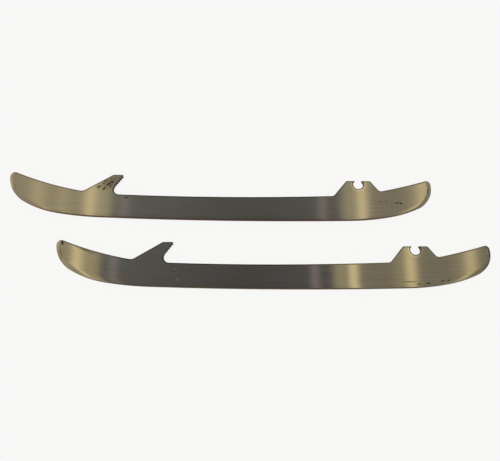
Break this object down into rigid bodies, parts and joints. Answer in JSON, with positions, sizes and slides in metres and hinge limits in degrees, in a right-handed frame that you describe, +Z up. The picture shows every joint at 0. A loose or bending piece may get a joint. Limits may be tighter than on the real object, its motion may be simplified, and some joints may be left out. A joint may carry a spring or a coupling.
{
  "type": "hockey skate runner",
  "caption": "Flat stainless steel hockey skate runners with a rockered ice edge, a toothed toe hook and a keyhole heel tab that seat in a blade holder.",
  "frame": {"origin": "middle of the pair's footprint on the table that the runners lie on", "axes": "+X along the runners from toe to heel, +Y from the ice edge to the boot side, +Z up off the table through the steel's thickness"},
  "size_m": [0.3148, 0.0804, 0.003],
  "materials": {
    "runner_steel": "ground along the length to a satin grain, with a few rust-brown marks"
  },
  "bodies": {
    "left_runner": {"left_runner": "runner_steel"},
    "right_runner": {"right_runner": "runner_steel"}
  },
  "joints": [
    {"name": "right_runner_lift", "type": "slide", "parent": "left_runner", "child": "right_runner", "axis": [0, 0, 1], "range_m": [0, 0.05]}
  ]
}
